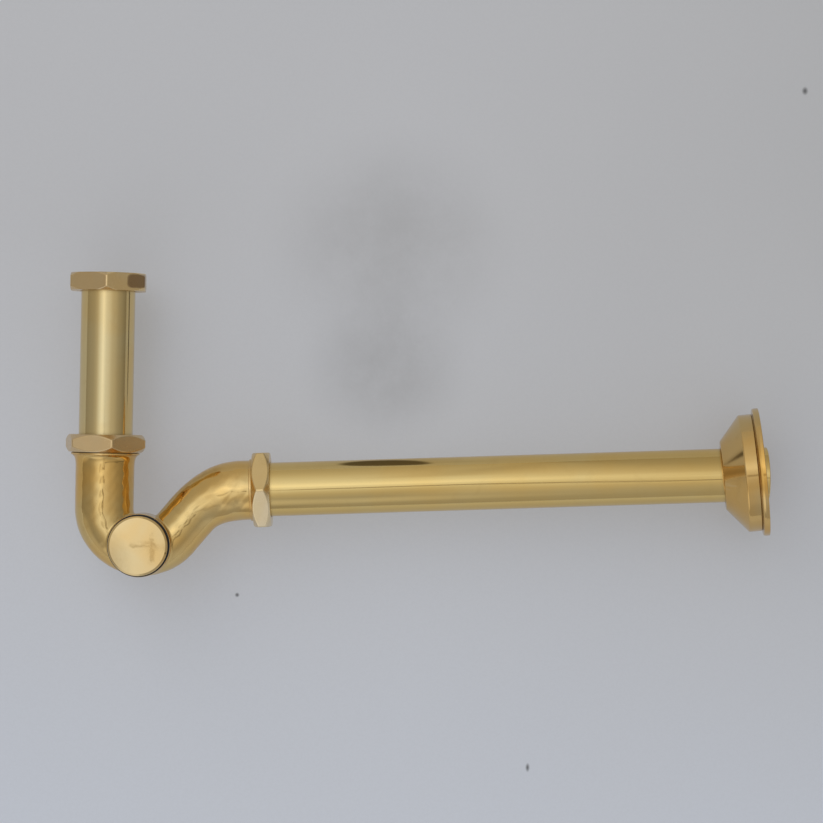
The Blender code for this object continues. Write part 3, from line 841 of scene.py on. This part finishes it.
def brass(
    name, colour, rough, grain, grain_depth, wave,
    tarnish=0.35, smudge=0.6, edge_wear_and_sheen=0.0, wave_scale=26.0, tint=1.0, paint=None,
):
    """Polished or satin brass.

    grain picks the marks and grain_depth their strength; wave is the height of the slow
    unevenness; tarnish, smudge, worn and tint are the strengths of dark blotches, dull
    patches, pale edges (partly wear, partly a painted highlight) and colour drift.
    paint(g, where, base) adds a local tone, for some pieces painted light or shade.
    """
    material, g, bsdf = new_material(name)
    where = g.place()
    big = g.noise(where, scale=22.0, detail=3.0, roughness=0.5, distortion=0.4)
    mid = g.noise(where, scale=95.0, detail=5.0, roughness=0.6, distortion=0.6)
    lines = g.noise(g.stretch(where, GRAINS[grain]), scale=1.0, detail=2.0, roughness=0.6)
    crossed = g.noise(g.stretch(where, HAIR_SCALES), scale=1.0, detail=3.0, roughness=0.7)
    hairs = g.ramp(crossed, start=0.63, end=0.74)
    crevice = g.node("ShaderNodeAmbientOcclusion", {"Distance": 0.004}, samples=6)
    # painted shade mask: 1 in crevices, where the ambient occlusion finds hollows; it also
    # makes them rougher
    crevice_shade_and_grime = g.ramp(crevice.outputs["AO"], start=0.75, end=0.15)

    # colour: drifts between cool and warm, with blotches, painted shade in the crevices and
    # pale edges that are partly wear and partly a painted highlight
    cool = shade(colour, 0.97, 1.02, 1.16)
    warm = shade(colour, 1.03, 0.93, 0.78)
    deep = shade(colour, 0.62, 0.50, 0.36)
    drift = g.times_plus(g.minus(g.ramp(big, start=0.35, end=0.68), 0.5), tint, 0.5)
    base = g.mix(drift, cool, warm)
    base = g.stain(base, g.ramp(mid, start=0.52, end=0.72), 0.22 * tarnish, deep)
    # painted shade: darkens the crevices towards near black
    base = g.stain(base, crevice_shade_and_grime, 0.75, CREVICE_SHADE)
    if edge_wear_and_sheen:
        pointiness = g.node("ShaderNodeNewGeometry").outputs["Pointiness"]
        # pale edges where the mesh is pointed: partly edge wear, partly a painted highlight
        edge = g.ramp(pointiness, start=0.515, end=0.56)
        base = g.stain(base, edge, edge_wear_and_sheen, shade(colour, 1.08, 1.12, 1.35))
    if paint:
        base = paint(g, where, base)
    g.link(base, bsdf.inputs["Base Color"])
    bsdf.inputs["Metallic"].default_value = 1.0

    # roughness: (mask, amount it adds)
    roughness = rough
    for mask, amount in (
        (g.ramp(mid, start=0.35, end=0.75), 0.10 * smudge),
        (g.ramp(big, start=0.4, end=0.7), 0.06 * smudge),
        (lines, 0.07 * grain_depth / 0.15),
        (hairs, 0.10 * smudge),
    ):
        roughness = g.times_plus(mask, amount, roughness)
    roughness = g.times_plus(crevice_shade_and_grime, 0.25, roughness, clamp=True)
    g.link(roughness, bsdf.inputs["Roughness"])

    # height, metres: grain, scratches, then two sizes of wave
    waves = g.noise(where, scale=wave_scale, detail=2.0, roughness=0.45, distortion=0.3)
    ripples = g.noise(where, scale=wave_scale * 3.4, detail=2.0, roughness=0.5, distortion=0.2)
    height = g.times(lines, grain_depth * 0.000012)
    for mask, amount in (
        (hairs, -0.0000025 * smudge),
        (waves, wave * 0.0008),
        (ripples, wave * 0.00007),
    ):
        height = g.times_plus(mask, amount, height)
    g.bump(height, bsdf)
    return material


def painted_reflection_and_highlight(g, where, base):
    """A painted dark reflection in brown at the right-hand end of the coupling nut's front,
    painted paler there.
    """
    split = g.split(where)
    # the painted dark reflection, an oval in X and Z: (output, centre, half size), with an
    # uneven border
    total = 0.0
    for axis, centre, half in ((0, 18.4, 5.3), (2, 5.6, 4.1)):
        off = g.over(g.minus(split[axis], centre * MM), half * MM)
        off = g.times(off, off)
        total = g.times_plus(off, off, total)
    border = g.noise(where, scale=260.0, detail=3.0, roughness=0.6)
    mark = g.ramp(g.times_plus(border, 0.9, total), start=1.9, end=0.9)
    front = g.math("LESS_THAN", split[1], 0.0)
    mark = g.times(mark, front)
    # painted highlight: the right half of the front is paler
    right = g.times(g.ramp(split[0], start=1.2 * MM, end=2.2 * MM), front)
    base = g.mix(right, base, g.tint(base, (1.16, 1.19, 1.17)))
    # painted dark reflection, laid on in brown
    return g.stain(base, mark, 0.74, (0.24, 0.125, 0.06))


def lacquer_and_drum_shade(g, where, base):
    """Old orange lacquer left on the flange's rim, and painted shade that darkens a band of its
    drum and rim.
    """
    x, _, z = g.split(where)
    on_drum = g.ramp(z, start=12.3 * MM, end=13.2 * MM)
    # painted shade: a darker band across the drum and rim, toning down the highlight there
    dull = g.times(on_drum, g.band(x, offset=6.0 * MM, start=17.0 * MM, end=5.0 * MM))
    base = g.mix(dull, base, g.tint(base, (0.84, 0.77, 0.64)))
    mark = g.ramp(z, start=19.9 * MM, end=20.5 * MM)
    mark = g.times(mark, g.band(x, offset=2.0 * MM, start=19.0 * MM, end=8.0 * MM))
    patchy = g.noise(where, scale=110.0, detail=4.0, roughness=0.6)
    mark = g.times(mark, g.ramp(patchy, start=0.25, end=0.5, out=(0.6, 1.0)))
    return g.stain(base, mark, 0.8, (0.86, 0.47, 0.10))


def painted_light_on_flats(g, where, base):
    """Painted light on the outlet nut: the lower flats are paler, a painted reflection of the
    pale floor, the upper ones darker.
    """
    # painted light: 1 on the lower flats, 0 on the upper ones
    lower = g.ramp(g.split(where)[0], start=-1.2 * MM, end=1.2 * MM)
    return g.tint(base, g.mix(lower, (0.96, 0.90, 0.76), (1.05, 1.10, 1.24)))


# ---------------------------------------------------------------- rubber
def rubber():
    """Near-black rubber with a faint grey bloom."""
    material, g, bsdf = new_material("rubber")
    where = g.place()
    big = g.noise(where, scale=60.0, detail=4.0)
    fine = g.noise(where, scale=2400.0, detail=3.0, roughness=0.7)
    bloom = g.ramp(g.noise(where, scale=180.0, detail=5.0, roughness=0.7), start=0.55, end=0.75)
    drift = g.ramp(big, start=0.3, end=0.7)
    base = g.mix(drift, (0.012, 0.012, 0.013), (0.03, 0.03, 0.032))
    base = g.stain(base, bloom, 0.25, (0.09, 0.09, 0.09))
    g.link(base, bsdf.inputs["Base Color"])
    g.link(g.ramp(big, start=0.2, end=0.8, out=(0.5, 0.72)), bsdf.inputs["Roughness"])
    g.bump(g.times(fine, 0.00001), bsdf)
    return material


# ---------------------------------------------------------------- the materials
CAST = brass(
    "cast_brass", colour=(0.855, 0.585, 0.21), rough=0.055, grain="free", grain_depth=0.05,
    wave=0.40, wave_scale=44.0, tarnish=0.7, smudge=0.28,
)
INLET_METAL = brass(
    "inlet_tube_brass", colour=(0.865, 0.672, 0.312), rough=0.05, grain="along",
    grain_depth=0.10, wave=0.03, wave_scale=14.0, tarnish=0.3, smudge=0.35, tint=0.6,
)
WALL_METAL = brass(
    "wall_tube_brass", colour=(0.88, 0.64, 0.237), rough=0.04, grain="along",
    grain_depth=0.08, wave=0.03, wave_scale=12.0, tarnish=0.3, smudge=0.25, tint=0.35,
)
NUT_COLOUR = (0.84, 0.63, 0.335)
NUT_FINISH = dict(
    grain="free", grain_depth=0.15, wave=0.10, wave_scale=60.0, smudge=0.5, edge_wear_and_sheen=0.35, tint=0.6,
)
NUT_METAL = brass("nut_brass", colour=NUT_COLOUR, rough=0.17, **NUT_FINISH)
# its paint is a painted dark reflection and a painted highlight on the nut's front
COUPLING_METAL = brass(
    "coupling_nut_brass", colour=NUT_COLOUR, rough=0.17, paint=painted_reflection_and_highlight, **NUT_FINISH
)
# painted light: the outlet nut's brass is a paler copy of the other nuts' brass
OUTLET_NUT_METAL = brass(
    "outlet_nut_brass_painted_light", colour=(0.95, 0.75, 0.405), rough=0.16, tarnish=0.3, paint=painted_light_on_flats,
    **NUT_FINISH,
)
RING_METAL = brass(
    "ring_brass", colour=(0.85, 0.62, 0.29), rough=0.28, grain="around", grain_depth=0.2,
    wave=0.03,
)
# its paint adds painted shade on the drum and rim
FLANGE_METAL = brass(
    "flange_brass", colour=(0.82, 0.56, 0.215), rough=0.05, grain="around", grain_depth=0.10,
    wave=0.16, wave_scale=38.0, tarnish=0.6, smudge=0.35, edge_wear_and_sheen=0.4, paint=lacquer_and_drum_shade,
)
CAP_METAL = brass(
    "cap_brass", colour=(0.88, 0.63, 0.272), rough=0.015, grain="free", grain_depth=0.04,
    wave=0.04, wave_scale=90.0, tarnish=0.45, smudge=0.22,
)
NECK_METAL = brass(
    "neck_brass", colour=(0.88, 0.61, 0.25), rough=0.08, grain="around", grain_depth=0.15,
    wave=0.03, tarnish=0.5, smudge=0.5,
)
RUBBER = rubber()


# ---------------------------------------------------------------- the pieces
def finish(obj, body, slot, material, *nodes):
    """Gives a piece its material, its body to ride on and the nodes it stands in for."""
    obj.data.materials.append(material)
    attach(obj, body)
    if nodes:
        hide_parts(*nodes)


def trap():
    finish(cast_bend(), "trap", "cast_brass", CAST, "trap_body")
    finish(neck("inlet_neck", INLET, INLET_SKIRT), "trap", "cast_brass", NECK_METAL)
    finish(neck("outlet_neck", OUTLET, OUTLET_SKIRT), "trap", "cast_brass", NECK_METAL)
    finish(boss_land(), "trap", "cast_brass", NECK_METAL)


def nuts():
    inlet_nut = nut("inlet_nut_hex", INLET, math.radians(15.3))
    finish(inlet_nut, "inlet_nut", "nut_brass", NUT_METAL, "inlet_slip_nut")
    outlet_nut = nut("outlet_nut_hex", OUTLET, math.radians(-0.8))
    finish(outlet_nut, "outlet_nut", "nut_brass", OUTLET_NUT_METAL, "outlet_slip_nut")
    coupling_nut = nut(
        "coupling_nut_hex", COUPLING, math.radians(3.9),
        shoulder_up=False, chamfer_r=COUPLING_CHAMFER_R,
    )
    finish(coupling_nut, "coupling_nut", "nut_brass", COUPLING_METAL, "coupling_nut")


def slip_joint(side, where):
    """The metal ring and the cone washer under a slip nut."""
    profile = oblong(SLIP_R, RING_R, RING_LOW, RING_HIGH - RING_LOW, 0.2, 0.25)
    ring = turned(side + "_slip_ring_turned", profile, where)
    finish(ring, side + "_ring", "ring_brass", RING_METAL, side + "_slip_ring")
    profile = [
        (SLIP_R, WASHER_LOW, 0.25),
        (SLIP_R, WASHER_HIGH, 0.3),
        (WASHER_R, WASHER_HIGH, 0.35),
        (WASHER_R, WASHER_STEP, 0.3),
        (18.1, WASHER_STEP, 0.2),
        (16.9, WASHER_LOW, 0.25),
    ]
    washer = turned(side + "_cone_washer_moulded", profile, where)
    finish(washer, side + "_seal", "rubber", RUBBER, side + "_cone_washer")


def inlet_pipe():
    """The flared inlet tube and the flat washer on its flare."""
    low = -SOCKET_INLET + GAP
    flare_low = COUPLING_Z + FLARE_LOW - INLET_NUT_Z
    flare_high = flare_low + FLARE_THICK
    profile = [
        (TUBE_BORE_R, low, 0.25),
        (TUBE_BORE_R, flare_high, 1.1),
        (FLARE_R, flare_high, 0.35),
        (FLARE_R, flare_low, 0.35),
        (TUBE_R, flare_low, 0.25),
        (TUBE_R, low, 0.35),
    ]
    tube = turned("inlet_tube_drawn", profile, INLET)
    finish(tube, "inlet_pipe", "tube_brass", INLET_METAL, "inlet_tube")
    profile = oblong(
        FLAT_WASHER_IN, FLAT_WASHER_R, flare_high + GAP, FLAT_WASHER_THICK, 0.2, 0.3
    )
    washer = turned("coupling_washer_flat", profile, INLET)
    finish(washer, "coupling_seal", "rubber", RUBBER, "coupling_washer")


def wall_pipe():
    low = -SOCKET_OUTLET + GAP
    profile = [
        (TUBE_BORE_R, low, 0.25),
        (TUBE_BORE_R, WALL_TUBE_END, 0.3),
        (TUBE_R, WALL_TUBE_END, 0.45),
        (TUBE_R, low, 0.35),
    ]
    tube = turned("wall_tube_drawn", profile, OUTLET)
    finish(tube, "wall_pipe", "tube_brass", WALL_METAL, "wall_tube")


def wall_flange():
    """The spun flange, a cone opening to a drum and a rim, and the ring that grips the tube."""
    drum = FLANGE_CONE
    rim = drum + FLANGE_DRUM
    back = rim + FLANGE_RIM
    # outside from the throat to the rim, then back along the inside: (radius, z, fillet)
    profile = [
        (FLANGE_THROAT_R, 0, 0.4),
        (FLANGE_SMALL_R - 0.2, 0, 0.8),
        (FLANGE_DRUM_R - 0.2, drum - 0.1, 1.0),
        (FLANGE_DRUM_R, drum + 0.6, 0.8),
        (FLANGE_DRUM_R, rim - 1.0, 0.3),
        (FLANGE_DRUM_R - 0.9, rim - 0.1, 0.3),
        (FLANGE_RIM_R - 0.3, rim - 0.02, 0.8),
        (FLANGE_RIM_R, rim + 1.6, 0.9),
        (FLANGE_RIM_R, back - 0.1, 0.6),
        (FLANGE_RIM_R - 0.6, back, 0.3),
        (FLANGE_DRUM_R - FLANGE_SKIN, back, 0.4),
        (FLANGE_DRUM_R - FLANGE_SKIN, drum + 0.9, 0.8),
        (FLANGE_SMALL_R + 0.1, FLANGE_SKIN, 0.6),
        (FLANGE_THROAT_R, FLANGE_SKIN, 0.4),
    ]
    flange = turned("wall_flange_spun", profile, flange_frame())
    finish(flange, "flange", "flange_brass", FLANGE_METAL, "wall_flange")
    profile = oblong(SLIP_R, GRIP_R, FLANGE_AT + GRIP_BEHIND, GRIP_THICK, 0.5, 0.9)
    grip = turned("flange_grip_moulded", profile, OUTLET)
    finish(grip, "flange_grip", "rubber", RUBBER, "flange_grip_ring")


def cleanout():
    finish(cap(), "cleanout_cap", "cap_brass", CAP_METAL, "cleanout_cap")
    profile = oblong(GASKET_IN, GASKET_R, GASKET_LOW, GASKET_THICK, 0.3, 0.5)
    gasket = turned("cleanout_gasket_moulded", profile, CLEANOUT)
    finish(gasket, "cleanout_seal", "rubber", RUBBER, "cleanout_gasket")


trap()
nuts()
slip_joint("inlet", INLET)
slip_joint("outlet", OUTLET)
inlet_pipe()
wall_pipe()
wall_flange()
cleanout()

# ---------------------------------------------------------------- the board behind
BOARD_HALF = 2.6  # metres
# Soft round marks on the board, metres: (x, z, half width, half height).
UPPER_MARK = (-0.019, 0.112, 0.088, 0.082)
LOWER_MARK = (-0.021, 0.036, 0.060, 0.052)
SPECKS = [
    (0.2325, 0.2117, 0.0024, 0.0032),
    (-0.1085, -0.1030, 0.0018, 0.0018),
    (0.0710, -0.2050, 0.0016, 0.0034),
]


def board_patch(g, x, z, mark):
    """A soft round mark, 1 in the middle."""
    at_x, at_z, half_x, half_z = mark
    off_x = g.over(g.minus(x, at_x), half_x)
    off_z = g.over(g.minus(z, at_z), half_z)
    inside = g.ramp(g.squares(off_x, off_z), start=1.0, end=0.0, linear=True)
    return g.times(inside, inside)


def board_smear(g, x, z):
    """A greasy smear, narrow in X and drawn out upwards."""
    height = g.math("MAXIMUM", g.plus(z, 0.034), 0.001)
    rise = g.over(g.math("LOGARITHM", g.over(height, 0.136), math.e), 1.25)
    across = g.over(g.plus(x, 0.0265), 0.0315)
    return g.ramp(g.squares(rise, across), start=1.0, end=0.55)


def board_tone(g, glossy):
    """The board's colour, with what only reflected rays see."""
    where = g.place()
    x, _, z = g.split(where)
    soft = g.noise(where, scale=5.0, detail=3.0, roughness=0.5)
    weave = g.noise(where, scale=700.0, detail=3.0, roughness=0.6)
    uneven = g.noise(where, scale=26.0, detail=5.0, roughness=0.65)
    upper, lower = (board_patch(g, x, z, mark) for mark in (UPPER_MARK, LOWER_MARK))
    marks = g.plus(g.times(upper, 0.85), lower)
    marks = g.times(marks, g.ramp(uneven, start=0.2, end=0.7, out=(0.55, 1.15)))
    first, second, third = (board_patch(g, x, z, speck) for speck in SPECKS)
    specks = g.plus(g.plus(first, second), third)
    # painted light: paler and bluer towards the floor; painted shade: greyer at the upper right
    low = g.ramp(z, start=0.12, end=-0.25, linear=True)
    right = g.times(
        g.ramp(x, start=0.0, end=0.30, linear=True),
        g.ramp(z, start=-0.35, end=0.15, linear=True),
    )
    # the metal sees the smear, a darker board, and more of the pale floor under it
    smear = g.times(board_smear(g, x, z), glossy)
    under = g.times(g.ramp(z, start=-0.10, end=-0.30), glossy)
    tone = g.mix(low, (0.414, 0.417, 0.428), (0.459, 0.483, 0.529))
    # (mask, amount, colour), laid on in this order
    for mask, amount, colour in (
        (right, 0.75, (0.362, 0.362, 0.362)),
        (g.ramp(soft, start=0.3, end=0.7), 0.12, (0.46, 0.46, 0.46)),
        (g.ramp(weave, start=0.35, end=0.7), 0.05, (0.30, 0.30, 0.31)),
        (marks, 0.24, (0.12, 0.115, 0.105)),
        (specks, 0.85, (0.06, 0.06, 0.06)),
        (smear, 0.90, (0.06, 0.05, 0.035)),
        (glossy, 0.12, (0.0, 0.0, 0.0)),
        (under, 0.10, (0.80, 0.82, 0.86)),
    ):
        tone = g.stain(tone, mask, amount, colour)
    return tone


def board_material():
    """A pale, faintly glowing surface that the camera sees through from behind."""
    material, g, bsdf = new_material("board")
    rays = g.node("ShaderNodeLightPath").outputs
    tone = board_tone(g, rays["Is Glossy Ray"])
    g.link(g.tint(tone, (1.22, 1.22, 1.22)), bsdf.inputs["Base Color"])
    g.link(tone, bsdf.inputs["Emission Color"])
    bsdf.inputs["Emission Strength"].default_value = 0.40
    bsdf.inputs["Roughness"].default_value = 0.85
    bsdf.inputs["Specular IOR Level"].default_value = 0.2
    backfacing = g.node("ShaderNodeNewGeometry").outputs["Backfacing"]
    hide = g.times(backfacing, rays["Is Camera Ray"])
    clear = g.node("ShaderNodeBsdfTransparent").outputs[0]
    mix = g.node("ShaderNodeMixShader", {0: hide, 1: bsdf.outputs[0], 2: clear})
    g.link(mix.outputs[0], g.tree.nodes["Material Output"].inputs["Surface"])
    return material


def board():
    mesh = bpy.data.meshes.new("board")
    half, y = BOARD_HALF, BOARD_Y * MM
    corners = [(-half, y, -half), (half, y, -half), (half, y, half), (-half, y, half)]
    mesh.from_pydata(corners, [], [(0, 1, 2, 3)])
    obj = bpy.data.objects.new("board", mesh)
    bpy.context.scene.collection.objects.link(obj)
    mesh.materials.append(board_material())


board()

# ---------------------------------------------------------------- the room's light
# Azimuth is degrees to the right of the way from the trap to the camera, elevation degrees up.
# (elevation, brightness): a soft window a little above, a paler floor edge, dim above and below
UPRIGHT = [
    (-90, 0.34), (-68, 0.38), (-42, 0.445), (-26, 0.51), (-13, 0.61), (-4, 0.63), (3, 0.67),
    (11, 0.83), (17, 0.78), (25, 0.67), (38, 0.59), (60, 0.49), (90, 0.42),
]
# (azimuth, brightness): the window is brightest to the left, the sides of the room are dark
AROUND = [
    (-180, 0.33), (-105, 0.28), (-85, 0.28), (-68, 0.32), (-52, 0.355), (-38, 0.46),
    (-24, 0.73), (-11, 0.98), (2, 0.73), (14, 0.645), (27, 0.51), (41, 0.44), (54, 0.345),
    (69, 0.285), (85, 0.215), (105, 0.225), (180, 0.33),
]
AROUND_MEAN = 0.667  # the brightness that leaves the upright curve as it is
# (azimuth, how far the dark rail lies below the horizon, as a part of RAIL_DROP)
RAIL_DIP = [(-10, 0.22), (-3, 0.20), (1.5, 0.14), (4.2, 0.45), (6.5, 0.82), (10, 0.84)]
RAIL_DROP = 17.7  # degrees
# (azimuth, elevation, inner and outer radius in degrees, brightness added)
LOBES = [
    (-35, -55, 5.0, 27.0, 0.34),
    (-92, -34, 8.0, 32.0, 0.16),
    (84, -44, 8.0, 32.0, 0.15),
    (-11, -5.0, 1.5, 5.0, -0.26),
]


def curve(g, angle, stops):
    """A brightness that runs straight between (angle, level) stops."""
    low, high = stops[0][0], stops[-1][0]
    node = g.node("ShaderNodeValToRGB", {0: g.ramp(angle, low, high, linear=True)})
    node.color_ramp.interpolation = "LINEAR"
    elements = node.color_ramp.elements
    elements[0].color = (stops[0][1],) * 3 + (1,)
    elements[1].color = (stops[-1][1],) * 3 + (1,)
    for stop, level in stops[1:-1]:
        elements.new((stop - low) / (high - low)).color = (level, level, level, 1)
    return node.outputs[0]


def lobe(g, direction, azimuth, elevation, inner, outer, amount):
    """A round soft patch of light."""
    azimuth, elevation = math.radians(azimuth), math.radians(elevation)
    towards = (
        math.sin(azimuth) * math.cos(elevation),
        -math.cos(azimuth) * math.cos(elevation),
        math.sin(elevation),
    )
    inputs = {0: direction, 1: towards}
    dot = g.node("ShaderNodeVectorMath", inputs, operation="DOT_PRODUCT").outputs["Value"]
    edge, core = math.cos(math.radians(outer)), math.cos(math.radians(inner))
    return g.times(g.ramp(dot, start=edge, end=core), amount)


def dim(g, level, mask, amount):
    return g.times(level, g.times_plus(mask, -amount, 1.0))


def dim_details(g, level, azimuth, elevation):
    """The darker things in the room ahead of the trap."""
    # a thin dark rail across the room, under the window, that dips to the right
    dip = g.times(curve(g, azimuth, RAIL_DIP), RAIL_DROP)
    rail = g.band(elevation, offset=dip, start=2.7, end=1.0)
    rail = g.times(rail, g.ramp(azimuth, start=-3.6, end=-2.0))
    level = dim(g, level, rail, 0.50)
    # a stand with its arm, seen in the cleanout cap
    post = g.times(
        g.band(azimuth, offset=4.5, start=0.34, end=0.16),
        g.band(elevation, offset=3.3, start=1.5, end=1.1),
    )
    arm = g.times(
        g.band(elevation, offset=2.95, start=0.20, end=0.08),
        g.band(azimuth, offset=5.3, start=1.4, end=1.1),
    )
    level = dim(g, level, g.math("MAXIMUM", post, arm), 0.34)
    # the window fades to the right of the camera
    fade = g.times(
        g.ramp(azimuth, start=1.0, end=6.5, linear=True),
        g.ramp(elevation, start=4.0, end=10.0),
    )
    level = dim(g, level, fade, 0.24)
    # the wall ahead is dimmer below and high up
    from_left = g.ramp(azimuth, start=-4.0, end=-2.0)
    ahead = g.times(from_left, g.ramp(azimuth, start=3.5, end=1.0))
    below = g.times(g.ramp(elevation, start=-2.0, end=-14.0), ahead)
    level = dim(g, level, below, 0.17)
    narrow = g.times(from_left, g.ramp(azimuth, start=0.8, end=-1.2))
    above = g.times(g.ramp(elevation, start=28.0, end=42.0), narrow)
    return dim(g, level, above, 0.15)


def studio():
    """A pale room for the metal to reflect, and a plain backdrop for the camera."""
    world = bpy.data.worlds.new("studio")
    bpy.context.scene.world = world
    world.use_nodes = True
    g = Graph(world.node_tree)
    direction = g.node("ShaderNodeTexCoord").outputs["Generated"]
    x, y, z = g.split(direction)
    degrees = 180 / math.pi
    azimuth = g.times(g.math("ARCTAN2", x, g.times(y, -1.0)), degrees)
    elevation = g.times(g.math("ARCSINE", z), degrees)
    upright = curve(g, elevation, UPRIGHT)
    around = curve(g, azimuth, AROUND)
    # straight up and down, the azimuth stops counting
    flat = g.minus(1.0, g.times(z, z))
    excess = g.minus(g.over(around, AROUND_MEAN), 1.0)
    level = g.times(upright, g.times_plus(excess, flat, 1.0))
    level = dim_details(g, level, azimuth, elevation)
    for patch in LOBES:
        level = g.plus(level, lobe(g, direction, *patch))
    # warm where it is dim, bluish where it is bright and towards the floor
    bright = g.ramp(level, start=0.42, end=0.80)
    colour = g.mix(bright, (1.0, 0.97, 0.91), (0.99, 1.04, 1.16))
    colour = g.mix(g.ramp(z, start=-0.3, end=-0.8), colour, (0.97, 1.0, 1.10))
    # the camera sees a plain pale backdrop wherever the board isn't
    plain = g.times_plus(g.ramp(z, start=-1.0, end=1.0), 0.04, 0.43)
    camera_ray = g.node("ShaderNodeLightPath").outputs["Is Camera Ray"]
    room = g.times(level, g.minus(1.0, camera_ray))
    strength = g.plus(room, g.times(plain, camera_ray))
    background = g.tree.nodes["Background"]
    g.link(colour, background.inputs["Color"])
    g.link(strength, background.inputs["Strength"])


def key_light():
    """A large soft light from the upper left, left out of reflections."""
    light = bpy.data.lights.new("key", "AREA")
    light.shape = "RECTANGLE"
    light.size = light.size_y = 1.4
    light.energy = 3.0
    light.color = (1.0, 0.98, 0.95)
    obj = bpy.data.objects.new("key", light)
    bpy.context.scene.collection.objects.link(obj)
    obj.location = (-0.9, -1.5, 1.3)
    to_origin = -Vector((-0.9, -1.5, 1.3))
    obj.rotation_euler = to_origin.to_track_quat("-Z", "Y").to_euler()
    obj.visible_glossy = False


studio()
key_light()

# ---------------------------------------------------------------- the camera
VIEW_WIDTH = 490.508  # across the picture, in the plane of the tubes
VIEW_RIGHT, VIEW_UP = 182.9124, 47.0244  # the view's middle, along the rolled axes
CAMERA_DISTANCE = 1549.6
CAMERA_ROLL = math.radians(1.12)


def place_camera():
    """Square on to the plane of the tubes, rolled so that the inlet leans to the right."""
    data = bpy.data.cameras.new("camera")
    data.sensor_width = 36.0
    data.lens = 36.0 * CAMERA_DISTANCE / VIEW_WIDTH
    data.clip_start = 0.01
    camera = bpy.data.objects.new("camera", data)
    bpy.context.scene.collection.objects.link(camera)
    cos, sin = math.cos(CAMERA_ROLL), math.sin(CAMERA_ROLL)
    aim_x = VIEW_RIGHT * cos - VIEW_UP * sin
    aim_z = VIEW_RIGHT * sin + VIEW_UP * cos
    aim = Vector((aim_x, 0.0, aim_z)) - MIDDLE
    camera.matrix_world = (
        Matrix.Translation(Vector((aim.x, -CAMERA_DISTANCE, aim.z)) * MM)
        @ Matrix.Rotation(math.pi / 2, 4, "X")
        @ Matrix.Rotation(CAMERA_ROLL, 4, "Z")
    )
    bpy.context.scene.camera = camera


place_camera()
bpy.context.scene.view_settings.view_transform = "Standard"
bpy.context.scene.view_settings.look = "None"
